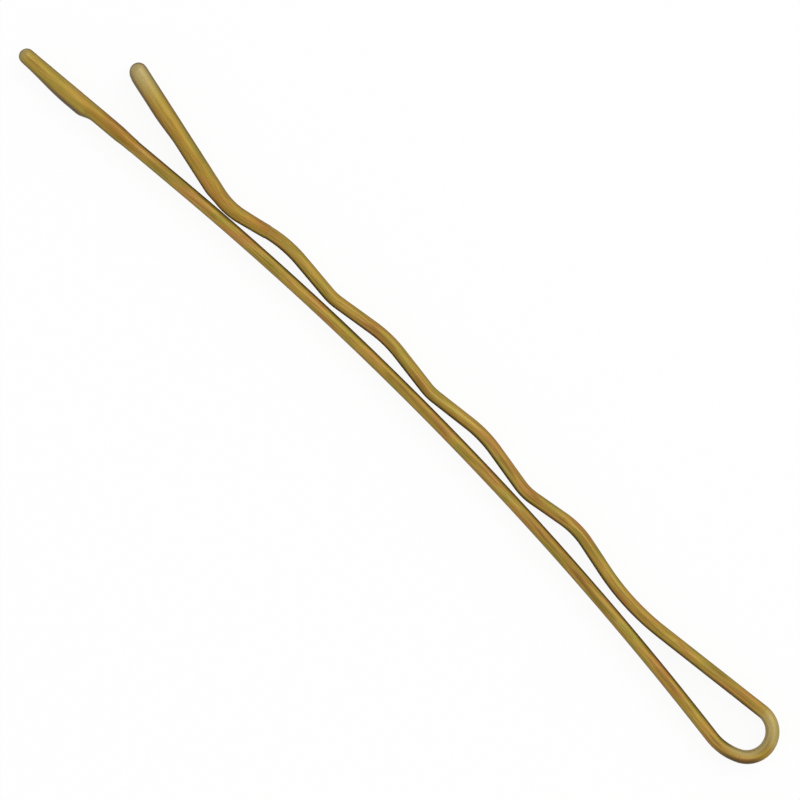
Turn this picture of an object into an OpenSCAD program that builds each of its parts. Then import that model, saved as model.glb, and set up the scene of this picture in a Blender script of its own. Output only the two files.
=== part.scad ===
// Bobby pin: one flat spring wire bent back on itself, with a dipped coat on each of its two ends.
// The pin lies on its side. The origin is on the axis of the eye in its closed end, at mid height of the
// wire. The mouth points towards -X, the wavy leg is on the +Y side of the straight leg, and +Z is up.

/* [Wire] */
// Thickness of the flat wire, seen from above
wire_t = 0.67; // [0.55:0.01:0.85]
// Width of the flat wire, from the table upwards
wire_w = 1.4; // [1.1:0.05:2]

/* [Closed end] */
// Inner radius of the eye
eye_r = 0.93; // [0.8:0.005:1.2]
// Inner radius of the slower curve that leads from the straight leg into the eye
lead_r = 2.5; // [1.6:0.05:4]
// Angle that the lead-in curve turns through
lead_angle = 33.7; // [20:0.1:45]
// Angle at which the straight leg leaves the closed end, from the pin's long axis
lean_angle = 6.9; // [5:0.1:8]

/* [Straight leg] */
// Overall length of the pin, from the end of the straight leg's coat to the outside of the bend
pin_length = 50.8; // [47:0.1:60]
// Radius of the long bow in the straight leg
bow_r = 179; // [150:1:240]
// Length of the bow along the leg; the rest of the leg is straight
bow_length = 38; // [34:0.5:42]

/* [Wavy leg] */
// Distance from the end of the straight leg's coat to the valley that rests on that leg
mouth_length = 12.9; // [11.5:0.1:15]
// Gap between the two legs where the pin grips
grip_gap = 0.04; // [0.02:0.01:0.2]
// Least run from the eye to the shoulder, the wide bend where the waves start
shoulder_room = 8.2; // [7.6:0.1:9]
// Distance from one hump to the next
hump_pitch = 6.68; // [6.2:0.01:7]
// Gap between the legs under each valley
valley_gap = 0.15; // [0.06:0.01:0.2]
// Gap between the legs under each hump
hump_gap = 0.51; // [0.35:0.01:0.55]
// Gap between the legs under the last hump, which is the tallest
tall_hump_gap = 0.73; // [0.55:0.01:0.75]
// Inner radius of the bend at each hump
hump_r = 6.2; // [4:0.1:7]
// Inner radius of the bend at the tall hump
tall_hump_r = 4.1; // [3:0.1:4.3]
// Inner radius of the bend at each valley
valley_r = 2.5; // [2:0.1:3.4]
// Inner radius of the bend at the valley that grips
grip_r = 3.1; // [2:0.1:4]
// Distance from the tall hump to the shoulder
shoulder_step = 3.77; // [3.7:0.01:4.2]
// Gap between the legs under the shoulder
shoulder_gap = 0.36; // [0.3:0.01:0.5]
// Inner radius of the shoulder
shoulder_r = 12.6; // [8:0.1:12.8]
// Angle of the turned-out end of the wavy leg, from the pin's long axis
flare_angle = 12.1; // [8:0.1:20]
// Length of the turned-out end, from the bend at the grip to the end of its coat
flare_length = 7.65; // [7.4:0.05:10]

/* [Dipped ends] */
// Distance from the end of the wire to the outside of its coat
cap_t = 0.26; // [0.22:0.01:0.4]
// Thickness of the coat on the straight leg
straight_film = 0.06; // [0.04:0.01:0.12]
// Length of the coat on the straight leg
straight_coat = 6.9; // [5.5:0.1:8]
// Thickness of the drop that sagged on the straight leg's coat
straight_drop = 0.21; // [0.1:0.01:0.3]
// Length over which that drop swells, from the end of the coat
straight_swell = 3.4; // [2:0.1:3.6]
// Distance from the end of the coat to where that drop starts to fall away
straight_brim = 4.05; // [3:0.05:4.2]
// Length over which that drop falls away
straight_fall = 0.85; // [0.8:0.05:2]
// Length over which the coat on the straight leg thins out at its rim
straight_rim = 0.5; // [0.3:0.1:1.2]
// Thickness of the coat on the wavy leg
wavy_film = 0.11; // [0.05:0.01:0.15]
// Bare wire between the bend at the grip and the rim of the coat on the wavy leg
wavy_bare = 0.05; // [0:0.05:2]
// Thickness of the drop that sagged on the wavy leg's coat
wavy_drop = 0.1; // [0.05:0.01:0.3]
// Length over which that drop swells, from the end of the coat
wavy_swell = 0.8; // [0.6:0.1:2]
// Distance from the end of the coat to where that drop starts to fall away
wavy_brim = 2.6; // [2:0.1:3.2]
// Length over which that drop falls away
wavy_fall = 2; // [1:0.1:2.5]
// Length over which the coat on the wavy leg thins out at its rim
wavy_rim = 0.3; // [0.2:0.1:1.2]

/* [Hidden] */
$fn = 48;
spring_colour = "#9f8445";
coat_colour = "#a98f4c";

// Radii along the middle of the wire
half_t = wire_t / 2;
eye_mid_r = eye_r + half_t;
lead_mid_r = lead_r + half_t;

// A heading is the way a walk along the wire points. The walk goes from the straight leg's end through
// the bend to the wavy leg's end. A turn is [centre, radius, side, heading in, heading out], all along
// the middle of the wire, and side is 1 where the walk turns left and -1 where it turns right.
function at_heading(c, r, side, h) = c + side * r * [sin(h), -cos(h)];
function turn_end(t) = at_heading(t[0], t[1], t[2], t[4]);
function along(h) = [cos(h), sin(h)];
function leftward(h) = [-sin(h), cos(h)];

// The closed end: the eye is round about the origin, and the lead-in joins it tangentially
eye_in = lead_angle - lean_angle;
lead_centre = at_heading([0, 0], eye_mid_r - lead_mid_r, 1, eye_in);
bow_end = at_heading(lead_centre, lead_mid_r, 1, -lean_angle);

// The straight leg: a straight run from the mouth, then the bow
bow_in = -lean_angle + bow_length / bow_r * 180 / PI;
bow_centre = bow_end - at_heading([0, 0], bow_r, -1, -lean_angle);
bow_start = at_heading(bow_centre, bow_r, -1, bow_in);
straight_reach = pin_length - eye_mid_r - half_t - cap_t;
grip_reach = pin_length - eye_mid_r - half_t - mouth_length;
straight_run = (straight_reach + bow_start.x) / cos(bow_in);
straight_end = bow_start - straight_run * along(bow_in);

// Heading of the straight leg at the distance d from the eye, and the middle of its wire there
function leg_heading(d) = d > -bow_start.x ? bow_in : -asin((-d - bow_centre.x) / bow_r);
function leg_point(d) = d > -bow_start.x
    ? bow_start - (d + bow_start.x) / cos(bow_in) * along(bow_in)
    : at_heading(bow_centre, bow_r, -1, leg_heading(d));

// The waves are laid out from the grip to the shoulder as turns about round forming pins, half a pitch
// apart. Even stations are valleys, with their pin above the wire, and odd ones are humps, with theirs
// below it. The straight leg's own bow carries the row of stations. The row has as many humps as there
// is room for between the grip and the shoulder.
humps = floor((grip_reach - shoulder_step - shoulder_room) / hump_pitch + 1 / 2);
shoulder = 2 * humps;
function is_valley(k) = k % 2 == 0;
function station_d(k) = k == shoulder ? station_d(k - 1) - shoulder_step : grip_reach - k * hump_pitch / 2;
function station_gap(k) = k == 0 ? grip_gap
    : k == shoulder ? shoulder_gap
    : k == shoulder - 1 ? tall_hump_gap
    : is_valley(k) ? valley_gap
    : hump_gap;
function station_r(k) = half_t + (k == 0 ? grip_r
    : k == shoulder ? shoulder_r
    : k == shoulder - 1 ? tall_hump_r
    : is_valley(k) ? valley_r
    : hump_r);
function station_side(k) = is_valley(k) ? -1 : 1;
function station_centre(k) = leg_point(station_d(k))
    + (wire_t + station_gap(k) - station_side(k) * station_r(k)) * leftward(leg_heading(station_d(k)));

// Heading of the straight run between two turns of opposite sides
function full_turn(h) = h < 0 ? h + 360 : h;
function run_heading(c1, r1, side1, c2, r2) =
    let(gap = c2 - c1)
    full_turn(atan2(gap.y, gap.x)) + side1 * asin((r1 + r2) / norm(gap));
function heading_from(k) = k == 0 ? 180 - flare_angle
    : run_heading(station_centre(k), station_r(k), station_side(k), station_centre(k - 1), station_r(k - 1));
eye_out = run_heading([0, 0], eye_mid_r, 1, station_centre(shoulder), station_r(shoulder));
function heading_to(k) = k == shoulder ? eye_out : heading_from(k + 1);

eye_turn = [[0, 0], eye_mid_r, 1, eye_in, eye_out];
lead_in = [lead_centre, lead_mid_r, 1, -lean_angle, eye_in];
bow_turn = [bow_centre, bow_r, -1, bow_in, -lean_angle];
wave_turns = [for (k = [shoulder : -1 : 0])
    [station_centre(k), station_r(k), station_side(k), heading_to(k), heading_from(k)]];
flare_start = turn_end(wave_turns[shoulder]);
flare_run = flare_length - cap_t;
flare_end = flare_start + flare_run * along(180 - flare_angle);

// Stops along the walk where the swept wire has a ring: [x, y, heading]
turn_step = 3;
bow_steps = 24;
function stop(p, h) = [p.x, p.y, h];
function turn_stops(t, steps) = [for (i = [0 : steps])
    let(h = t[3] + (t[4] - t[3]) * i / steps)
    stop(at_heading(t[0], t[1], t[2], h), h)];
function steps_of(t) = ceil(abs(t[4] - t[3]) / turn_step);

straight_stops = concat(
    [stop(straight_end, bow_in)],
    turn_stops(bow_turn, bow_steps),
    [for (i = [1 : steps_of(lead_in)]) turn_stops(lead_in, steps_of(lead_in))[i]]);
wavy_stops = concat(
    [stop(turn_end(eye_turn), eye_out)],
    [for (t = wave_turns) each turn_stops(t, steps_of(t))],
    [stop(flare_end, 180 - flare_angle)]);

// The wire's outline, as seeds for its points: [normal sideways, normal upwards, place between the two
// round edges, from 1 at the top to -1 at the bottom]. The flat faces have more points where flats is not 0.
edge_steps = 8;
function seeds(flats) = concat(
    [for (i = [0 : edge_steps]) [cos(180 * i / edge_steps), sin(180 * i / edge_steps), 1]],
    [for (i = [1 : 1 : flats]) [-1, 0, 1 - 2 * i / (flats + 1)]],
    [for (i = [0 : edge_steps]) [-cos(180 * i / edge_steps), -sin(180 * i / edge_steps), -1]],
    [for (i = [1 : 1 : flats]) [1, 0, 2 * i / (flats + 1) - 1]]);
round_at = (wire_w - wire_t) / 2;

// A point across the walk at a stop, sideways and upwards from the middle of the wire
function across(s, side, up) = [s.x - side * sin(s.z), s.y + side * cos(s.z), up];
function wire_ring(s, flats) = [for (q = seeds(flats))
    across(s, q[0] * half_t, q[2] * round_at + q[1] * half_t)];

// A closed skin over a row of rings that all have the same number of points. Each cap is listed from
// the top of a round edge, because three points in a row there are never in one line.
module skin(rings) {
    n = len(rings[0]);
    last = len(rings) - 1;
    top = edge_steps / 2;
    first_cap = [for (j = [0 : n - 1]) (j + top) % n];
    last_cap = [for (j = [n : -1 : 1]) last * n + (j + top) % n];
    walls = [for (i = [0 : last - 1], j = [0 : n - 1])
        let(k = (j + 1) % n)
        each [
            [i * n + j, (i + 1) * n + j, (i + 1) * n + k],
            [i * n + j, (i + 1) * n + k, i * n + k]
        ]];
    polyhedron(points = [for (ring = rings) each ring], faces = concat([first_cap], walls, [last_cap]));
}

// Section of the flat wire: two flat faces and two round edges
module wire_section() {
    square([wire_t, wire_w - wire_t], center = true);
    translate([0, round_at])
        circle(r = half_t);
    translate([0, -round_at])
        circle(r = half_t);
}

module straight_leg() {
    color(spring_colour)
        skin([for (s = straight_stops) wire_ring(s, 0)]);
}

// The eye is a true revolve, so that its inner face is a true cylinder
eye_facets = 200;
module spring_bend() {
    color(spring_colour)
        rotate([0, 0, eye_in - 90])
            rotate_extrude(angle = eye_out - eye_in, $fn = eye_facets)
                translate([eye_mid_r, 0])
                    wire_section();
}

module wavy_leg() {
    color(spring_colour)
        skin([for (s = wavy_stops) wire_ring(s, 0)]);
}

// Dipped coat round one end of the wire. It is drawn from its outer end, where the heading points along
// the wire, as rings from the round nose to the rim, and from the rim back down the pocket for the wire.
// The drop hangs on the -Y side.
nose_steps = 6;
body_steps = 16;
coat_flats = 3;
// Shares of the width and of the thickness that are left at the very end of the nose
nose_width = 0.72;
nose_blunt = 0.12;
// How much thinner the drop is at the round edges than in the middle of the flat face
drop_crown = 0.3;
// How quickly the drop thins out round the wire, from its own side to the other one
drop_spread = 1.5;
// Share of the coat's thickness that is left at its rim
rim_share = 0.35;

function smooth(x) = let(t = min(max(x, 0), 1)) t * t * (3 - 2 * t);
function drop_at(s, drop, swell, brim, fall) = drop * smooth(s / swell) * (1 - smooth((s - brim) / fall));

module coat(outer_end, heading, film, length, drop, swell, brim, fall, rim_length) {
    nose_r = half_t + film;
    places = concat(
        [for (i = [0 : nose_steps - 1]) nose_r * (1 - cos(90 * i / nose_steps))],
        [for (i = [0 : body_steps]) nose_r + (length - rim_length - nose_r) * i / body_steps]);
    outer = [for (s = places)
        let(
            back = s < nose_r ? 1 - s / nose_r : 0,
            roundness = max(sqrt(1 - back * back), nose_blunt),
            width = nose_width + (1 - nose_width) * roundness,
            p = outer_end + s * along(heading),
            here = drop_at(s, drop, swell, brim, fall))
        [for (q = seeds(coat_flats))
            let(
                sag = here * (1 - drop_crown * q[2] * q[2]) * pow((1 - q[0]) / 2, drop_spread),
                r = nose_r * roundness + sag)
            across(stop(p, heading), q[0] * r, q[2] * round_at * width + q[1] * r)]];
    rim = [for (q = seeds(coat_flats))
        let(r = half_t + film * rim_share)
        across(stop(outer_end + length * along(heading), heading), q[0] * r, q[2] * round_at + q[1] * r)];
    pocket = [for (s = [length, cap_t]) wire_ring(stop(outer_end + s * along(heading), heading), coat_flats)];
    skin(concat(outer, [rim], pocket));
}

module straight_leg_tip() {
    color(coat_colour)
        coat(straight_end - cap_t * along(bow_in), bow_in, straight_film, straight_coat,
            straight_drop, straight_swell, straight_brim, straight_fall, straight_rim);
}

module wavy_leg_tip() {
    inward = -flare_angle;
    color(coat_colour)
        coat(flare_end - cap_t * along(inward), inward, wavy_film, flare_length - wavy_bare,
            wavy_drop, wavy_swell, wavy_brim, wavy_fall, wavy_rim);
}

straight_leg();
spring_bend();
wavy_leg();
straight_leg_tip();
wavy_leg_tip();
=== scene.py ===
import bpy
import math
from mathutils import Matrix, Vector, noise


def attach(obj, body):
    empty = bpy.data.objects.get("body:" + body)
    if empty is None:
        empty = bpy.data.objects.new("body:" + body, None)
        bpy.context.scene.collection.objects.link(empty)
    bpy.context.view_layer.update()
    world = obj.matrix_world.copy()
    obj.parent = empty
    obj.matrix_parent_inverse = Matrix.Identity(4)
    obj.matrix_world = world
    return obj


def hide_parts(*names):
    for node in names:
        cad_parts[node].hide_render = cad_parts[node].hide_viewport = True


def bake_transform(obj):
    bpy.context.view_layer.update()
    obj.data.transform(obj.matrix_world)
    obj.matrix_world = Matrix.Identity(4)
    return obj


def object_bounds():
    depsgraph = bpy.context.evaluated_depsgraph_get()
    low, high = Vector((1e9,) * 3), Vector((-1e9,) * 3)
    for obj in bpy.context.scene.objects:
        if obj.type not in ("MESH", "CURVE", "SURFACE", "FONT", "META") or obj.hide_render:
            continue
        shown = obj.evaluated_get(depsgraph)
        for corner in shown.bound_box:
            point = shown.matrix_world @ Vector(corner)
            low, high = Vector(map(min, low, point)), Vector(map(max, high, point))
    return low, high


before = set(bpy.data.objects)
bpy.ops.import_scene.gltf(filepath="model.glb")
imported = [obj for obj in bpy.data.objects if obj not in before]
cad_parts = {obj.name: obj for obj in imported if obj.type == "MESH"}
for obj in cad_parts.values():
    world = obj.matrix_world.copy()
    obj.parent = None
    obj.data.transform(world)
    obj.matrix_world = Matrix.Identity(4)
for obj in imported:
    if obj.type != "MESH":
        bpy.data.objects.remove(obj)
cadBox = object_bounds()
mm = 0.001  # in metres, as the scene is
print("frame loaded:", len(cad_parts), "nodes")

# the pin's own sizes in millimetres and degrees, as the solids have them
pinForm = {
    "wireThickness": 0.67, "wireWidth": 1.4,
    "eyeRadius": 0.93, "leadRadius": 2.5, "leadAngle": 33.7, "leanAngle": 6.9,
    "pinLength": 50.8, "bowRadius": 179, "bowLength": 38,
    "mouthLength": 12.9, "gripGap": 0.04, "humps": 4, "humpPitch": 6.68,
    "valleyGap": 0.15, "humpGap": 0.51, "tallHumpGap": 0.73,
    "humpRadius": 6.2, "tallHumpRadius": 4.1, "valleyRadius": 2.5, "gripRadius": 3.1,
    "shoulderStep": 3.77, "shoulderGap": 0.36, "shoulderRadius": 12.6,
    "flareAngle": 12.1, "flareLength": 7.65, "capThickness": 0.26,
}
halfThickness = pinForm["wireThickness"] / 2
# how far the centre of a round edge is above or below mid height
roundCentre = (pinForm["wireWidth"] - pinForm["wireThickness"]) / 2


# small helpers

def hexColour(text):
    # sRGB hex text to the linear colour that a node takes
    def linear(value):
        return value / 12.92 if value <= 0.04045 else ((value + 0.055) / 1.055) ** 2.4
    return tuple(linear(int(text[i:i + 2], 16) / 255) for i in (1, 3, 5)) + (1.0,)


nodesInRow = 12
nodeSpacing = (190, -260)  # in the node editor, so that a tree can be read


def addNode(tree, kind, settings=None, inputs=None):
    # An input is a plain value, a socket to link, or a node whose first output is linked. Where inputs of
    # a node share a name, they are given by number.
    node = tree.nodes.new(kind)
    row, column = divmod(len(tree.nodes), nodesInRow)
    node.location = (nodeSpacing[0] * column, nodeSpacing[1] * row)
    for name, value in (settings or {}).items():
        setattr(node, name, value)
    for name, value in (inputs or {}).items():
        if isinstance(value, bpy.types.Node):
            value = value.outputs[0]
        if isinstance(value, bpy.types.NodeSocket):
            tree.links.new(value, node.inputs[name])
        else:
            node.inputs[name].default_value = value
    return node


def smooth(x):
    # 0 up to x = 0, 1 from x = 1 on, and an even ease between
    t = min(max(x, 0.0), 1.0)
    return t * t * (3 - 2 * t)


# the walk along the wire
# A heading is the way the walk points, in degrees. The walk goes from the straight leg's end through
# the bend to the wavy leg's end. A turn is (centre, radius, side, heading in, heading out), and its side
# is 1 for a turn to the left and -1 for one to the right.

def along(heading):
    return Vector((math.cos(math.radians(heading)), math.sin(math.radians(heading))))


def leftward(heading):
    return Vector((-math.sin(math.radians(heading)), math.cos(math.radians(heading))))


def atHeading(centre, radius, side, heading):
    return centre - side * radius * leftward(heading)


def runHeading(first, second):
    # of the straight run between two turns of opposite sides
    gap = second[0] - first[0]
    crossing = math.degrees(math.asin((first[1] + second[1]) / gap.length))
    return math.degrees(math.atan2(gap.y, gap.x)) % 360 + first[2] * crossing


def layPin(form):
    origin = Vector((0, 0))
    eyeMid = form["eyeRadius"] + halfThickness
    leadMid = form["leadRadius"] + halfThickness
    eyeIn = form["leadAngle"] - form["leanAngle"]
    leadCentre = atHeading(origin, eyeMid - leadMid, 1, eyeIn)
    bowEnd = atHeading(leadCentre, leadMid, 1, -form["leanAngle"])
    bowIn = -form["leanAngle"] + math.degrees(form["bowLength"] / form["bowRadius"])
    bowCentre = bowEnd - atHeading(origin, form["bowRadius"], -1, -form["leanAngle"])
    bowStart = atHeading(bowCentre, form["bowRadius"], -1, bowIn)
    # the step on the straight part that makes the pin one millimetre longer
    beyondBow = along(bowIn) / math.cos(math.radians(bowIn))
    reach = form["pinLength"] - eyeMid - halfThickness - form["capThickness"]
    straightEnd = bowStart - (reach + bowStart.x) * beyondBow

    # the row of forming pins from the grip, station 0, to the shoulder, beside the straight leg
    gripReach = form["pinLength"] - eyeMid - halfThickness - form["mouthLength"]
    shoulder = 2 * form["humps"]

    def station(k):
        # valleys have even numbers and humps odd ones; the grip, the last hump and the shoulder have
        # sizes of their own
        away = gripReach - k * form["humpPitch"] / 2
        gap, radius = form["humpGap"], form["humpRadius"]
        if k % 2 == 0:
            gap, radius = form["valleyGap"], form["valleyRadius"]
        if k == 0:
            gap, radius = form["gripGap"], form["gripRadius"]
        if k == shoulder - 1:
            gap, radius = form["tallHumpGap"], form["tallHumpRadius"]
        if k == shoulder:
            away = gripReach - (k - 1) * form["humpPitch"] / 2 - form["shoulderStep"]
            gap, radius = form["shoulderGap"], form["shoulderRadius"]
        radius += halfThickness
        side = -1 if k % 2 == 0 else 1
        if away > -bowStart.x:
            heading = bowIn
            foot = bowStart - (away + bowStart.x) * beyondBow
        else:
            heading = -math.degrees(math.asin((-away - bowCentre.x) / form["bowRadius"]))
            foot = atHeading(bowCentre, form["bowRadius"], -1, heading)
        return (foot + (form["wireThickness"] + gap - side * radius) * leftward(heading), radius, side)

    stations = [station(k) for k in range(shoulder, -1, -1)]
    headings = [runHeading((origin, eyeMid, 1), stations[0])]
    headings += [runHeading(stations[i], stations[i + 1]) for i in range(shoulder)]
    headings.append(180 - form["flareAngle"])
    waves = [stations[i] + (headings[i], headings[i + 1]) for i in range(shoulder + 1)]
    flareStart = atHeading(*waves[-1][:3], headings[-1])
    flareEnd = flareStart + (form["flareLength"] - form["capThickness"]) * along(headings[-1])
    eye = (origin, eyeMid, 1, eyeIn, headings[0])
    return {
        "straightEnd": straightEnd, "straightHeading": bowIn,
        "straightTurns": [(bowCentre, form["bowRadius"], -1, bowIn, -form["leanAngle"]),
                          (leadCentre, leadMid, 1, -form["leanAngle"], eyeIn)],
        "eye": eye, "waves": waves, "flareEnd": flareEnd,
        "bendStart": atHeading(*eye[:3], eyeIn), "bendEnd": atHeading(*eye[:3], headings[0]),
    }


def walk(start, turns, end, spacing):
    points = []
    touching = 0.001  # two points this close are one
    stub = 0.002  # the short piece that squares an end face

    def run(a, b):
        steps = max(1, math.ceil((b - a).length / spacing))
        points.extend(a.lerp(b, i / steps) for i in range(steps))

    here = start
    for centre, radius, side, headIn, headOut in turns:
        enter = atHeading(centre, radius, side, headIn)
        if (enter - here).length > touching:
            run(here, enter)
        steps = max(2, math.ceil(math.radians(abs(headOut - headIn)) * radius / spacing))
        headings = [headIn + (headOut - headIn) * i / steps for i in range(steps)]
        points.extend(atHeading(centre, radius, side, heading) for heading in headings)
        here = atHeading(centre, radius, side, headOut)
    # where the wire ends in a turn, a very short piece along the true heading keeps the end face square
    if (start - atHeading(*turns[0][:4])).length < touching:
        points.insert(1, start + stub * along(turns[0][3]))
    if (end - here).length > touching:
        run(here, end)
    else:
        points.append(end - stub * along(turns[-1][4]))
    points.append(end)
    return points


def pathLength(points):
    return sum((b - a).length for a, b in zip(points, points[1:]))


walkForm = {"spacing": 0.12, "bendSpacing": 0.06}  # from point to point, in millimetres
pin = layPin(pinForm)
straightWalk = walk(pin["straightEnd"], pin["straightTurns"], pin["bendStart"], walkForm["spacing"])
bendWalk = walk(pin["bendStart"], [pin["eye"]], pin["bendEnd"], walkForm["bendSpacing"])
wavyWalk = walk(pin["bendEnd"], pin["waves"], pin["flareEnd"], walkForm["spacing"])
bendFrom = pinForm["capThickness"] + pathLength(straightWalk)
bendTo = bendFrom + pathLength(bendWalk)
wholeLength = bendTo + pathLength(wavyWalk) + pinForm["capThickness"]
print("pin laid out,", round(wholeLength, 1), "mm along the wire, its bend from",
      round(bendFrom, 1), "to", round(bendTo, 1))


# camera, straight above the pin as in the photograph

cameraForm = {"distance": 0.4, "viewWidth": 0.0396, "aim": (-0.023742, -0.000632),
              "right": (0.70433, 0.70987), "sensorWidth": 36, "nearest": 0.01, "farthest": 20}


def makeCamera(form):
    data = bpy.data.cameras.new("camera")
    data.sensor_width = form["sensorWidth"]
    data.lens = form["sensorWidth"] * form["distance"] / form["viewWidth"]
    data.clip_start, data.clip_end = form["nearest"], form["farthest"]
    camera = bpy.data.objects.new("camera", data)
    bpy.context.scene.collection.objects.link(camera)
    right = Vector((*form["right"], 0)).normalized()
    up = Vector((0, 0, 1)).cross(right)
    turn = Matrix((right, up, (0, 0, 1))).transposed().to_4x4()
    camera.matrix_world = Matrix.Translation((*form["aim"], form["distance"])) @ turn
    bpy.context.scene.camera = camera


makeCamera(cameraForm)
print("camera set")


# floor, lamps and world, in metres

white = (1, 1, 1, 1)
studioForm = {
    "floorColour": "#fbfbfa", "floorSize": 3.0, "floorGlow": 0.93, "worldLight": 0.6,
    "lampAim": (-0.024, 0, 0),
    "lamps": {"keyLamp": {"place": (-0.02, 0.28, 0.40), "watts": 1.05, "size": 0.42},
              "topLamp": {"place": (-0.12, 0.05, 0.55), "watts": 0.22, "size": 0.5},
              "fillLamp": {"place": (-0.03, -0.30, 0.36), "watts": 0.12, "size": 0.4}},
}


def seenRays(tree):
    # 1 for camera, glossy and transmission rays, 0 for the rays that light things
    rays = addNode(tree, "ShaderNodeLightPath").outputs
    seen = rays["Is Camera Ray"]
    for kind in ("Is Glossy Ray", "Is Transmission Ray"):
        seen = addNode(tree, "ShaderNodeMath", {"operation": "MAXIMUM"}, {0: seen, 1: rays[kind]})
    return seen


def makeFloor(form):
    half, z = form["floorSize"] / 2, cadBox[0][2]
    corners = [(-half, -half, z), (half, -half, z), (half, half, z), (-half, half, z)]
    mesh = bpy.data.meshes.new("floor")
    mesh.from_pydata(corners, [], [(0, 1, 2, 3)])
    floor = bpy.data.objects.new("floor", mesh)
    bpy.context.scene.collection.objects.link(floor)
    # matt white paper sweep, which the camera and reflections see partly as plain white
    material = bpy.data.materials.new("mattWhitePaper")
    material.use_nodes = True
    tree = material.node_tree
    tree.nodes.clear()
    paper = addNode(tree, "ShaderNodeBsdfDiffuse", inputs={"Color": hexColour(form["floorColour"])})
    plain = addNode(tree, "ShaderNodeEmission", inputs={"Color": white, "Strength": 1.0})
    share = addNode(tree, "ShaderNodeMath", {"operation": "MULTIPLY"}, {
        0: seenRays(tree), 1: form["floorGlow"]})
    shader = addNode(tree, "ShaderNodeMixShader", inputs={0: share, 1: paper, 2: plain})
    addNode(tree, "ShaderNodeOutputMaterial", inputs={"Surface": shader})
    mesh.materials.append(material)


def makeLamps(form):
    for name, lampForm in form["lamps"].items():
        data = bpy.data.lights.new(name, "AREA")
        data.energy = lampForm["watts"]
        data.size = lampForm["size"]
        lamp = bpy.data.objects.new(name, data)
        bpy.context.scene.collection.objects.link(lamp)
        direction = Vector(form["lampAim"]) - Vector(lampForm["place"])
        turn = direction.to_track_quat("-Z", "Y").to_matrix().to_4x4()
        lamp.matrix_world = Matrix.Translation(lampForm["place"]) @ turn


def makeWorld(form):
    world = bpy.data.worlds.new("studio")
    bpy.context.scene.world = world
    world.use_nodes = True
    tree = world.node_tree
    tree.nodes.clear()
    strength = addNode(tree, "ShaderNodeMapRange", inputs={
        "Value": seenRays(tree), "To Min": form["worldLight"], "To Max": 1.0})
    light = addNode(tree, "ShaderNodeBackground", inputs={"Color": white, "Strength": strength})
    addNode(tree, "ShaderNodeOutputWorld", inputs={"Surface": light})


makeFloor(studioForm)
makeLamps(studioForm)
makeWorld(studioForm)
bpy.context.scene.view_settings.view_transform = "Standard"
print("studio set")


# finishes
# Both read wireSpace, the place in the wire in millimetres: lengthways along the walk, sideways with plus
# on the side that looks into the pin, and upwards. So streaks follow each bend and run on into the coats.
# They also read flatShare, 0 on top of a round edge and 1 on the flat faces, and the coats' resinDepth in
# millimetres. A size is (length, width) of a patch in millimetres. A share is how much of a tint shows.

goldForm = {
    "gold": "#a28431", "olive": "#8d7d2a", "copper": "#a87938", "brown": "#6b4712", "straw": "#bca663",
    "shadow": "#35290f", "edgeTint": "#a08a58", "specular": 0.25, "coatRoughness": 0.45,
    "cloudSize": (1.7, 0.55), "cloudFrom": 0.36, "cloudTo": 0.64, "glossFrom": 0.25, "glossTo": 0.75,
    "streakSize": (2.4, 0.09), "streakSoft": 0.13, "brownFrom": 0.5, "brownShare": 0.5,
    "strawTo": 0.46, "strawShare": 0.3, "edgeTo": 0.5, "flatStreak": 0.35,
    "seamWander": 0.5, "wanderSize": (9.0, 100.0), "seamCore": 0.02, "seamWidth": 0.17, "seamShare": 0.45,
    "breakSize": (3.0, 1.5), "breakFrom": 0.42, "breakTo": 0.58, "brokenShare": 0.1,
    "innerMiddle": 0.65, "outerMiddle": 0.5, "middleTo": 0.05, "rimFrom": 0.38, "sideBlend": 0.1,
    "lineSize": (1.4, 0.035), "lineDepth": 0.004, "lineStrength": 0.3,
    "peelSize": (0.64, 0.4), "peelDepth": 0.02, "peelStrength": 0.5,
}


def startFinish(name):
    # an empty material, and the values that hold on the skin, by name
    material = bpy.data.materials.new(name)
    material.use_nodes = True
    tree = material.node_tree
    tree.nodes.clear()
    space = addNode(tree, "ShaderNodeAttribute", {"attribute_name": "wireSpace"}).outputs["Vector"]
    lengthways, sideways, upwards = addNode(tree, "ShaderNodeSeparateXYZ", inputs={0: space}).outputs
    skin = {
        "space": space, "lengthways": lengthways, "sideways": sideways,
        "height": addNode(tree, "ShaderNodeMath", {"operation": "ABSOLUTE"}, {0: upwards}),
        "flat": addNode(tree, "ShaderNodeAttribute", {"attribute_name": "flatShare"}).outputs["Fac"],
    }
    return material, tree, skin


def addGrain(tree, skin, size, detail, roughness=0.6):
    # noise in patches of this size
    length, width = size
    stretched = addNode(tree, "ShaderNodeVectorMath", {"operation": "MULTIPLY"}, {
        0: skin["space"], 1: (1 / length, 1 / width, 1 / width)})
    return addNode(tree, "ShaderNodeTexNoise", inputs={
        "Vector": stretched, "Scale": 1.0, "Detail": detail, "Roughness": roughness})


def addShares(tree, skin, rows):
    # A row is the share's name, the value that it follows, from where to where in that value it eases,
    # what it is before and after, and the names of any shares that it is multiplied by.
    for name, value, start, end, before, after, *others in rows:
        share = addNode(tree, "ShaderNodeMapRange", {"interpolation_type": "SMOOTHSTEP"}, {
            "Value": skin[value], "From Min": start, "From Max": end, "To Min": before, "To Max": after})
        for other in others:
            share = addNode(tree, "ShaderNodeMath", {"operation": "MULTIPLY"}, {0: share, 1: skin[other]})
        skin[name] = share


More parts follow.
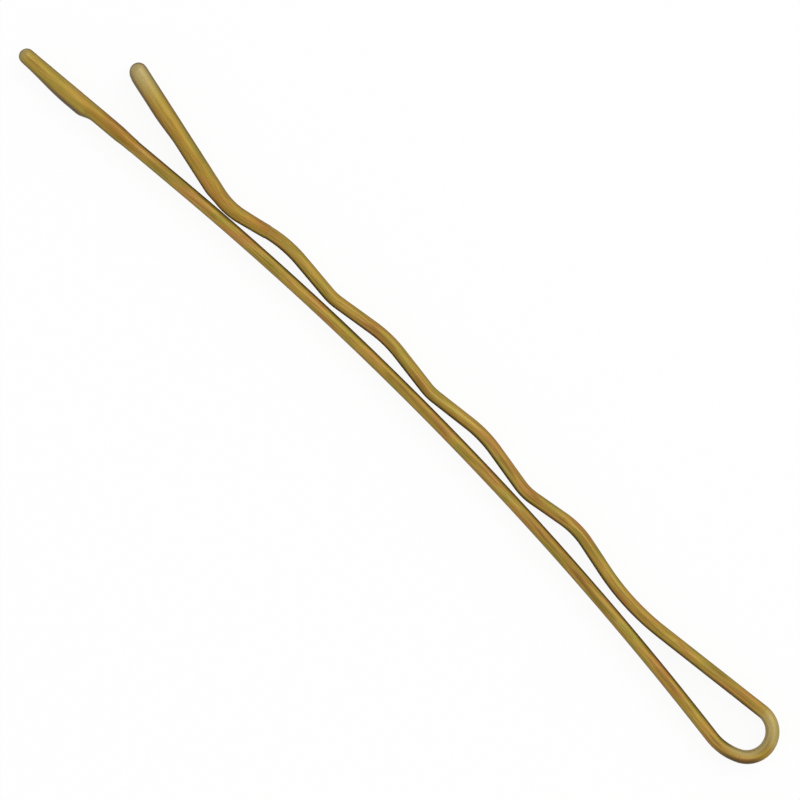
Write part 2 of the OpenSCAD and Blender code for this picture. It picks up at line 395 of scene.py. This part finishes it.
def addStains(tree, skin, form):
    # clouds from olive where the lacquer is thin, over gold, to copper where it is thick
    skin["cloud"] = addGrain(tree, skin, form["cloudSize"], detail=3.0)
    clouds = addNode(tree, "ShaderNodeValToRGB", inputs={0: skin["cloud"]})
    ramp = clouds.color_ramp.elements
    ramp[0].position, ramp[0].color = form["cloudFrom"], hexColour(form["olive"])
    ramp[1].position, ramp[1].color = form["cloudTo"], hexColour(form["copper"])
    ramp.new((form["cloudFrom"] + form["cloudTo"]) / 2).color = hexColour(form["gold"])

    # a thin brown seam that wanders along the round edge in broken lengths: partly a seam left by the
    # rolls, partly painted shade along the middle of the round edge
    noiseMiddle = 0.5
    slow = addGrain(tree, skin, form["wanderSize"], detail=0.0)  # even across the wire
    drift = addNode(tree, "ShaderNodeMath", {"operation": "SUBTRACT"}, {0: slow, 1: noiseMiddle})
    wander = addNode(tree, "ShaderNodeMath", {"operation": "MULTIPLY"}, {0: drift, 1: form["seamWander"]})
    beside = addNode(tree, "ShaderNodeMath", {"operation": "SUBTRACT"}, {0: skin["sideways"], 1: wander})
    skin["offSeam"] = addNode(tree, "ShaderNodeMath", {"operation": "ABSOLUTE"}, {0: beside})
    skin["break"] = addGrain(tree, skin, form["breakSize"], detail=1.0)

    # streaks, plainest on the round edges, which the rolls drew
    skin["streak"] = addGrain(tree, skin, form["streakSize"], detail=2.0)
    addShares(tree, skin, [
        ("edge", "flat", form["edgeTo"], 1.0, 1.0, form["flatStreak"]),
        ("brownStreak", "streak", form["brownFrom"], form["brownFrom"] + form["streakSoft"],
         0.0, form["brownShare"], "edge"),
        ("strawStreak", "streak", form["strawTo"] - form["streakSoft"], form["strawTo"],
         form["strawShare"], 0.0, "edge"),
        ("unbroken", "break", form["breakFrom"], form["breakTo"], form["brokenShare"], 1.0),
        ("seam", "offSeam", form["seamCore"], form["seamWidth"], form["seamShare"], 0.0, "unbroken"),
        # painted shade on the flat faces: strongest towards their edges and weaker at mid height
        ("innerEven", "height", form["middleTo"], form["rimFrom"], form["innerMiddle"], 1.0),
        ("outerEven", "height", form["middleTo"], form["rimFrom"], form["outerMiddle"], 1.0),
        ("within", "sideways", -form["sideBlend"], form["sideBlend"], 0.0, 1.0),
        ("gloss", "cloud", form["glossFrom"], form["glossTo"], *form["roughness"]),
    ])
    return clouds.outputs["Color"]


def endFinish(tree, skin, form, colour, layers):
    # painted shade: on the side that looks into the pin the dark share is inner, elsewhere the stronger of
    # the outer two, and it tints the colour towards shadow last
    outer = addNode(tree, "ShaderNodeMath", {"operation": "MAXIMUM"}, {
        0: skin["outer"], 1: skin["extraShade"]})
    skin["dark"] = addNode(tree, "ShaderNodeMix", {"data_type": "FLOAT"}, {
        0: skin["within"], 2: outer, 3: skin["inner"]})
    for share, tint in layers + [("dark", "shadow")]:
        colour = addNode(tree, "ShaderNodeMix", {"data_type": "RGBA"}, {
            0: skin[share], 6: colour, 7: hexColour(form[tint])}).outputs[2]

    # lines from drawing, which really are finer and wouldn't show, under the soft ripple of a thick lacquer
    lines = addNode(tree, "ShaderNodeBump", inputs={
        "Strength": form["lineStrength"], "Distance": form["lineDepth"] * mm,
        "Height": addGrain(tree, skin, form["lineSize"], detail=2.0)})
    bump = addNode(tree, "ShaderNodeBump", inputs={
        "Strength": form["peelStrength"], "Distance": form["peelDepth"] * mm,
        "Height": addGrain(tree, skin, form["peelSize"], detail=1.0), "Normal": lines})
    shader = addNode(tree, "ShaderNodeBsdfPrincipled", inputs={
        "Base Color": colour, "Metallic": form["metallic"], "Roughness": skin["gloss"],
        "Specular IOR Level": form["specular"], "Specular Tint": hexColour(form["edgeTint"]),
        "Coat Weight": form["coat"], "Coat Roughness": form["coatRoughness"], "Normal": bump})
    addNode(tree, "ShaderNodeOutputMaterial", inputs={"Surface": shader})


lacquerForm = dict(
    goldForm, metallic=0.6, roughness=(0.5, 0.66), coat=0.3,
    innerStart=0.6, innerFull=0.97, innerDark=0.8, outerStart=0.8, outerDark=0.4,
    # round the bend, with painted shade on its first half and painted light on its second; where the bend's
    # shade starts, is full and ends is given in millimetres from the bend's start
    paleBend="#b3a36c", bendShare=0.75, bendMargin=1.2, bendTail=0.5, inwardFrom=-0.05, inwardTo=0.22,
    bendInner=0.1, bendShadeStart=-1.9, bendShadeFull=-0.3, bendShadeEnd=1.3, bendShadeFade=0.7,
    bendShadeFaceFrom=0.05, bendShadeFaceTo=0.8, bendShadeDark=0.8, litBendShare=0.6, litBendShade=0.3)


def lacqueredSpringSteel(name, form, bendStart, bendEnd):
    # stoving lacquer, old gold, sprayed over cold-drawn flat spring wire: satin sheen, faint lines along
    # the wire from drawing, warm and olive tints where the lacquer is thick or thin, painted shade that
    # darkens the flat sides, and painted light and shade round the bend
    material, tree, skin = startFinish(name)
    clouds = addStains(tree, skin, form)
    bendShadeEnd = bendStart + form["bendShadeEnd"]
    addShares(tree, skin, [
        ("entered", "lengthways", bendStart - form["bendMargin"], bendStart, 0.0, 1.0),
        ("inBend", "lengthways", bendEnd - form["bendTail"], bendEnd + form["bendTail"], 1.0, 0.0,
         "entered"),
        ("inward", "sideways", form["inwardFrom"], form["inwardTo"], 0.0, form["bendShare"]),
        # painted shade on the outer side of the bend's first half, and painted light on its second half,
        # where the outer shade is also lighter
        ("bendShadeRise", "lengthways", bendStart + form["bendShadeStart"], bendStart + form["bendShadeFull"], 0.0, 1.0),
        ("bendShaded", "lengthways", bendShadeEnd - form["bendShadeFade"], bendShadeEnd, 1.0, 0.0, "bendShadeRise"),
        ("litBend", "lengthways", bendShadeEnd, bendShadeEnd + form["bendShadeFade"], 0.0, 1.0, "inBend"),
        # painted shade on the flat faces that look into the pin, where the legs shade each other, much
        # weaker round the wide eye
        ("reached", "inBend", 0.0, 1.0, 1.0, form["bendInner"]),
        ("inner", "flat", form["innerStart"], form["innerFull"], 0.0, form["innerDark"],
         "innerEven", "reached"),
        # painted shade on the other flat faces, lighter on the bend's lit second half
        ("litBendEdge", "litBend", 0.0, 1.0, 1.0, form["litBendShade"]),
        ("outer", "flat", form["outerStart"], 1.0, 0.0, form["outerDark"], "litBendEdge", "outerEven"),
        # painted shade on the outer side of the bend's first half
        ("extraShade", "flat", form["bendShadeFaceFrom"], form["bendShadeFaceTo"], 0.0, form["bendShadeDark"],
         "bendShaded", "outerEven"),
    ])
    # painted light round the tight bend: paler on its inner side and on its second half
    litBendLight = addNode(tree, "ShaderNodeMath", {"operation": "MULTIPLY"}, {
        0: skin["litBend"], 1: form["litBendShare"]})
    paler = addNode(tree, "ShaderNodeMath", {"operation": "MAXIMUM"}, {0: skin["inward"], 1: litBendLight})
    skin["paler"] = addNode(tree, "ShaderNodeMath", {"operation": "MULTIPLY"}, {
        0: skin["inBend"], 1: paler})
    endFinish(tree, skin, form, clouds, [
        ("brownStreak", "brown"), ("strawStreak", "straw"), ("paler", "paleBend"), ("seam", "brown")])
    return material


resinForm = dict(
    goldForm, metallic=0.5, roughness=(0.46, 0.62), coat=0.25,
    innerStart=0.8, innerFull=0.97, innerDark=0.65, outerStart=0.66, outerDark=0.7, rimDark=0.6,
    # in millimetres from the coat's outer end, and coreHalf sideways from the middle
    pale="#a58d3c", paleShare=0.35, paleFrom=4.2, paleTo=7.2,
    nose="#aea076", noseFrom=0.08, noseShare=0.35, noseLength=0.6, farNoseShare=0.6, farNoseLength=2.6,
    core="#96651a", coreShare=0.42, coreHalf=0.3, coreFrom=1.8, coreTo=4.4,
    # painted shade at the drop's edge, by the depth of its resin in millimetres and by flatShare
    deepFrom=0.04, deepTo=0.18, deepFaceFrom=0.2, deepFaceTo=0.75, deepDark=0.88, deepMiddle=0.7)


def dippedResin(name, form, wholeLength):
    # thick tinted resin, dipped over the lacquered ends and stoved: rounder and a little glossier than the
    # lacquer, paler where there is no wire behind it, with painted shade on its flat faces that is darkest
    # at the drop's deep edge
    material, tree, skin = startFinish(name)
    clouds = addStains(tree, skin, form)
    skin["depth"] = addNode(tree, "ShaderNodeAttribute", {"attribute_name": "resinDepth"}).outputs["Fac"]
    skin["fromFar"] = addNode(tree, "ShaderNodeMath", {"operation": "SUBTRACT"}, {
        0: wholeLength, 1: skin["lengthways"]})
    skin["fromEnd"] = addNode(tree, "ShaderNodeMath", {"operation": "MINIMUM"}, {
        0: skin["lengthways"], 1: skin["fromFar"]})
    skin["offMiddle"] = addNode(tree, "ShaderNodeMath", {"operation": "ABSOLUTE"}, {0: skin["sideways"]})
    addShares(tree, skin, [
        ("thick", "fromEnd", form["paleFrom"], form["paleTo"], form["paleShare"], 0.0),
        # the browner wire shows through along the middle, where the resin over its crest is thinnest
        ("coreStart", "fromEnd", form["coreFrom"], form["coreTo"], 0.0, 1.0),
        ("core", "offMiddle", 0.0, form["coreHalf"], form["coreShare"], 0.0, "coreStart"),
        ("nearNose", "lengthways", form["noseFrom"], form["noseLength"], form["noseShare"], 0.0),
        ("farNose", "fromFar", form["noseFrom"], form["farNoseLength"], form["farNoseShare"], 0.0),
        # painted shade on the flat faces that look into the pin
        ("inner", "flat", form["innerStart"], form["innerFull"], 0.0, form["innerDark"], "innerEven"),
        # towards the rim the resin thins out to the lacquered wire, and the painted shade on its outer
        # faces eases to the wire's
        ("towardsRim", "fromEnd", form["paleFrom"], form["paleTo"], 1.0, form["rimDark"]),
        ("outer", "flat", form["outerStart"], 1.0, 0.0, form["outerDark"], "towardsRim", "outerEven"),
        # painted shade at the drop's deep edge, where the resin stands furthest out beside the wire
        ("deepEven", "height", form["middleTo"], form["rimFrom"], form["deepMiddle"], 1.0),
        ("deepFace", "flat", form["deepFaceFrom"], form["deepFaceTo"], 0.0, 1.0),
        ("extraShade", "depth", form["deepFrom"], form["deepTo"], 0.0, form["deepDark"],
         "deepFace", "deepEven"),
    ])
    skin["nose"] = addNode(tree, "ShaderNodeMath", {"operation": "MAXIMUM"}, {
        0: skin["nearNose"], 1: skin["farNose"]})
    endFinish(tree, skin, form, clouds, [
        ("brownStreak", "brown"), ("strawStreak", "straw"), ("seam", "brown"),
        ("thick", "pale"), ("core", "core"), ("nose", "nose")])
    return material


wireFinish = lacqueredSpringSteel("stovedLacquerOnSpringSteel", lacquerForm, bendFrom, bendTo)
tipFinish = dippedResin("dippedResinTip", resinForm, wholeLength)
print("finishes made")


def addValues(mesh, name, values):
    # one number for each point
    mesh.attributes.new(name, "FLOAT", "POINT").data.foreach_set("value", values)


# the wire

wireForm = {"edgeSegments": 12, "unevenness": 0.006, "lumpLength": 1.6, "seed": 5.0, "sharpAngle": 50}


def sweptWireTree():
    tree = bpy.data.node_groups.new("sweptFlatWire", "GeometryNodeTree")
    sockets = {"Geometry": "NodeSocketGeometry", "Thickness": "NodeSocketFloat", "Width": "NodeSocketFloat",
               "Edge Segments": "NodeSocketInt", "Unevenness": "NodeSocketFloat",
               "Lump Length": "NodeSocketFloat", "Seed": "NodeSocketFloat", "Finish": "NodeSocketMaterial"}
    for name, kind in sockets.items():
        tree.interface.new_socket(name, in_out="INPUT", socket_type=kind)
    tree.interface.new_socket("Geometry", in_out="OUTPUT", socket_type="NodeSocketGeometry")
    given = addNode(tree, "NodeGroupInput").outputs
    pointVectors = {"data_type": "FLOAT_VECTOR", "domain": "POINT"}

    # flat wire with full round edges, drawn across the walk
    almostHalf = 0.4999  # at a full half the two round edges' ends would share their points
    outline = addNode(tree, "GeometryNodeCurvePrimitiveQuadrilateral", inputs={
        "Width": given["Thickness"], "Height": given["Width"]})
    radius = addNode(tree, "ShaderNodeMath", {"operation": "MULTIPLY"}, {
        0: given["Thickness"], 1: almostHalf})
    outline = addNode(tree, "GeometryNodeFilletCurve", {"mode": "POLY"}, {
        "Curve": outline, "Count": given["Edge Segments"], "Radius": radius, "Limit Radius": True})
    sectionPlace = addNode(tree, "GeometryNodeInputPosition")
    outline = addNode(tree, "GeometryNodeStoreNamedAttribute", pointVectors, {
        "Geometry": outline, "Name": "sectionPlace", "Value": sectionPlace})

    rail = addNode(tree, "GeometryNodeMeshToCurve", inputs={0: given["Geometry"]})
    rail = addNode(tree, "GeometryNodeSetCurveNormal", {"mode": "Z_UP"}, {"Curve": rail})
    swept = addNode(tree, "GeometryNodeCurveToMesh", inputs={
        "Curve": rail, "Profile Curve": outline, "Fill Caps": True})

    # wireSpace from the walked distance and the place in the section, whose axes point right and down
    distance = addNode(tree, "GeometryNodeInputNamedAttribute", {"data_type": "FLOAT"}, {
        "Name": "distance"})
    section = addNode(tree, "GeometryNodeInputNamedAttribute", {"data_type": "FLOAT_VECTOR"}, {
        "Name": "sectionPlace"})
    turned = addNode(tree, "ShaderNodeVectorMath", {"operation": "SCALE"}, {0: section, "Scale": -1 / mm})
    right, down, _ = addNode(tree, "ShaderNodeSeparateXYZ", inputs={0: turned}).outputs
    place = addNode(tree, "ShaderNodeCombineXYZ", inputs={0: distance, 1: right, 2: down})
    swept = addNode(tree, "GeometryNodeStoreNamedAttribute", pointVectors, {
        "Geometry": swept, "Name": "wireSpace", "Value": place})

    # the drawn wire is never quite even: a slow noise along it moves the skin inwards
    stretch = addNode(tree, "ShaderNodeMath", {"operation": "DIVIDE"}, {0: 1.0, 1: given["Lump Length"]})
    spot = addNode(tree, "ShaderNodeVectorMath", {"operation": "SCALE"}, {0: place, "Scale": stretch})
    lump = addNode(tree, "ShaderNodeTexNoise", {"noise_dimensions": "4D"}, {
        "Vector": spot, "W": given["Seed"], "Scale": 1.0, "Detail": 1.0})
    depth = addNode(tree, "ShaderNodeMath", {"operation": "MULTIPLY"}, {0: lump, 1: given["Unevenness"]})
    inward = addNode(tree, "ShaderNodeMath", {"operation": "MULTIPLY"}, {0: depth, 1: -1.0})
    normal = addNode(tree, "GeometryNodeInputNormal")
    shift = addNode(tree, "ShaderNodeVectorMath", {"operation": "SCALE"}, {0: normal, "Scale": inward})
    swept = addNode(tree, "GeometryNodeSetPosition", inputs={"Geometry": swept, "Offset": shift})
    swept = addNode(tree, "GeometryNodeRealizeInstances", inputs={0: swept})
    swept = addNode(tree, "GeometryNodeSetMaterial", inputs={
        "Geometry": swept, "Material": given["Finish"]})
    addNode(tree, "NodeGroupOutput", inputs={0: swept})
    return tree


wireTree = sweptWireTree()


def makeWire(name, points, startDistance, finish, form):
    mesh = bpy.data.meshes.new(name + "Walk")
    steps = [(i, i + 1) for i in range(len(points) - 1)]
    mesh.from_pydata([(p.x * mm, p.y * mm, 0) for p in points], steps, [])
    distances = [startDistance]
    for a, b in zip(points, points[1:]):
        distances.append(distances[-1] + (b - a).length)
    addValues(mesh, "distance", distances)
    rail = bpy.data.objects.new(name + "Walk", mesh)
    bpy.context.scene.collection.objects.link(rail)
    modifier = rail.modifiers.new("sweptFlatWire", "NODES")
    modifier.node_group = wireTree
    values = {"Thickness": pinForm["wireThickness"] * mm, "Width": pinForm["wireWidth"] * mm,
              "Edge Segments": form["edgeSegments"], "Unevenness": form["unevenness"] * mm,
              "Lump Length": form["lumpLength"], "Seed": form["seed"], "Finish": finish}
    for socket in wireTree.interface.items_tree:
        if socket.in_out == "INPUT" and socket.name in values:
            modifier[socket.identifier] = values[socket.name]
    bpy.context.view_layer.update()
    evaluated = rail.evaluated_get(bpy.context.evaluated_depsgraph_get())
    plain = bpy.data.meshes.new_from_object(evaluated)
    bpy.data.objects.remove(rail)
    plain.name = name
    plain.polygons.foreach_set("use_smooth", [True] * len(plain.polygons))
    plain.set_sharp_from_angle(angle=math.radians(form["sharpAngle"]))
    sideways = [v.vector.y for v in plain.attributes["wireSpace"].data]
    addValues(plain, "flatShare", [min(1.0, abs(y) / halfThickness) for y in sideways])
    piece = bpy.data.objects.new(name, plain)
    bpy.context.scene.collection.objects.link(piece)
    return piece, distances[-1]


reached = pinForm["capThickness"]
straightWire, reached = makeWire("straightLegWire", straightWalk, reached, wireFinish, wireForm)
bendWire, reached = makeWire("springBendWire", bendWalk, reached, wireFinish, wireForm)
wavyWire, reached = makeWire("wavyLegWire", wavyWalk, reached, wireFinish, wireForm)
print("wire swept,", round(reached, 1), "mm from end to end")

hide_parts("straight_leg")
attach(straightWire, "straight_side")
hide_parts("wavy_leg")
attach(wavyWire, "wavy_side")
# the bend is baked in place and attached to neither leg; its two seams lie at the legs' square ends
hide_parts("spring_bend")
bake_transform(bendWire)


# dipped tips
# Sizes in millimetres from the coat's outer end. The drop sags from one flat face and the other is plain.
# Each has its own film, which ends in a rim that eases to rimShare of its thickness. The drop is on the
# outer side of the straight leg and on the inner side of the wavy one.

straightCoatForm = {
    "plainFilm": 0.075, "plainEnd": 7.3, "plainRim": 1.3, "dropFilm": 0.04, "dropEnd": 6.9, "dropRim": 0.6,
    "rimShare": 0.2, "drop": 0.215, "swell": 3.4, "brim": 4.05, "fall": 0.85, "lump": 0.008, "seed": 3.0,
}
wavyCoatForm = {
    "plainFilm": 0.11, "plainEnd": 10.8, "plainRim": 3.2, "dropFilm": 0.11, "dropEnd": 8.0, "dropRim": 0.8,
    "rimShare": 0.15, "drop": 0.1, "swell": 0.8, "brim": 2.6, "fall": 2.0, "lump": 0.008, "seed": 11.0,
}
coatShape = {
    "noseSteps": 14, "bodySteps": 120, "edgeSteps": 18, "flatSteps": 8, "pocketSteps": 40, "sharpAngle": 60,
    "noseWidth": 0.72, "noseBlunt": 0.1, "dropCrown": 0.3, "dropSpread": 1.5,
    "lumpAlong": 1.1, "lumpAcross": 1.2,
}


def pathPoint(path, s):
    for a, b in zip(path, path[1:]):
        step = (b - a).length
        if s <= step:
            return a.lerp(b, s / step)
        s -= step
    return path[-1]


def pathLeft(path, s, reach=0.15):
    way = pathPoint(path, s + reach) - pathPoint(path, max(0.0, s - reach))
    return Vector((-way.y, way.x)).normalized()


def sectionSeeds(edgeSteps, flatSteps):
    # (normal sideways, normal upwards, place between the round edges from 1 to -1)
    turn = [math.pi * i / edgeSteps for i in range(edgeSteps + 1)]
    rest = [2 * i / flatSteps - 1 for i in range(1, flatSteps)]
    return ([(math.cos(a), math.sin(a), 1) for a in turn] + [(-1, 0, -x) for x in rest]
            + [(-math.cos(a), -math.sin(a), -1) for a in turn] + [(1, 0, x) for x in rest])


def filmAt(form, s, face):
    thinning = smooth((s - form[face + "End"]) / form[face + "Rim"] + 1)
    return form[face + "Film"] * (1 - (1 - form["rimShare"]) * thinning)


def coatRing(form, shape, seeds, s, noseRadius):
    # the coat's section at s, as (sideways, upwards), and how far its nose has rounded out there
    back = max(0.0, 1 - s / noseRadius)
    roundness = max(math.sqrt(1 - back * back), shape["noseBlunt"])
    width = shape["noseWidth"] + (1 - shape["noseWidth"]) * roundness
    drop = form["drop"] * smooth(s / form["swell"]) * (1 - smooth((s - form["brim"]) / form["fall"]))
    ring = []
    for across, up, place in seeds:
        film = (filmAt(form, s, "plain") * (1 + across) + filmAt(form, s, "drop") * (1 - across)) / 2
        sag = drop * (1 - shape["dropCrown"] * place * place) * ((1 - across) / 2) ** shape["dropSpread"]
        spot = Vector((s * shape["lumpAlong"] + form["seed"], across * shape["lumpAcross"],
                       up * shape["lumpAcross"] + place))
        lump = form["lump"] * film / form["plainFilm"] * (noise.noise(spot) - 1) / 2  # never outwards
        r = (halfThickness + film + lump) * roundness + sag
        ring.append((across * r, place * roundCentre * width + up * r))
    return ring, roundness


def makeCoat(name, path, form, shape, finish, atFarEnd):
    seeds = sectionSeeds(shape["edgeSteps"], shape["flatSteps"])
    noseRadius = halfThickness + (form["plainFilm"] + form["dropFilm"]) / 2
    length = max(form["plainEnd"], form["dropEnd"])
    noseTurns = [math.pi / 2 * i / shape["noseSteps"] for i in range(shape["noseSteps"])]
    places = [noseRadius * (1 - math.cos(turn)) for turn in noseTurns]
    body = length - noseRadius
    places += [noseRadius + body * i / shape["bodySteps"] for i in range(shape["bodySteps"] + 1)]
    rings = [(s, *coatRing(form, shape, seeds, s, noseRadius)) for s in places]
    # back down the pocket that the wire's end sits in
    pocket = [(across * halfThickness, place * roundCentre + up * halfThickness)
              for across, up, place in seeds]
    for i in range(shape["pocketSteps"] + 1):
        s = length + (pinForm["capThickness"] - length) * i / shape["pocketSteps"]
        rings.append((s, pocket, 1.0))

    vertices, wireSpace, shares, depths = [], [], [], []
    for s, ring, roundness in rings:
        middle, left = pathPoint(path, s), pathLeft(path, s)
        for (side, up), (_, rise, _) in zip(ring, seeds):
            p = middle + side * left
            vertices.append((p.x * mm, p.y * mm, up * mm))
            wireSpace.extend((wholeLength - s, -side, up) if atFarEnd else (s, side, up))
            shares.append(math.sqrt(1 - min(1.0, rise * roundness) ** 2))
            depths.append(max(0.0, abs(side) - halfThickness))

    count = len(seeds)
    last = count * (len(rings) - 1)
    faces = [tuple(range(count))]
    for first in range(0, last, count):
        for j in range(count):
            k = (j + 1) % count
            faces.append((first + j, first + count + j, first + count + k, first + k))
    faces.append(tuple(reversed(range(last, last + count))))
    mesh = bpy.data.meshes.new(name)
    mesh.from_pydata(vertices, [], faces)
    mesh.attributes.new("wireSpace", "FLOAT_VECTOR", "POINT").data.foreach_set("vector", wireSpace)
    mesh.polygons.foreach_set("use_smooth", [True] * len(mesh.polygons))
    mesh.set_sharp_from_angle(angle=math.radians(shape["sharpAngle"]))
    addValues(mesh, "flatShare", shares)
    addValues(mesh, "resinDepth", depths)
    mesh.materials.append(finish)
    piece = bpy.data.objects.new(name, mesh)
    bpy.context.scene.collection.objects.link(piece)
    return piece


straightOuter = pin["straightEnd"] - pinForm["capThickness"] * along(pin["straightHeading"])
straightPath = [straightOuter] + straightWalk
straightTip = makeCoat("straightLegTip", straightPath, straightCoatForm, coatShape, tipFinish,
                       atFarEnd=False)
wavyOuter = pin["flareEnd"] - pinForm["capThickness"] * along(-pinForm["flareAngle"])
wavyPath = [wavyOuter] + wavyWalk[::-1]
wavyTip = makeCoat("wavyLegTip", wavyPath, wavyCoatForm, coatShape, tipFinish, atFarEnd=True)
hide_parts("straight_leg_tip")
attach(straightTip, "straight_side")
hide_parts("wavy_leg_tip")
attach(wavyTip, "wavy_side")
print("tips dipped")
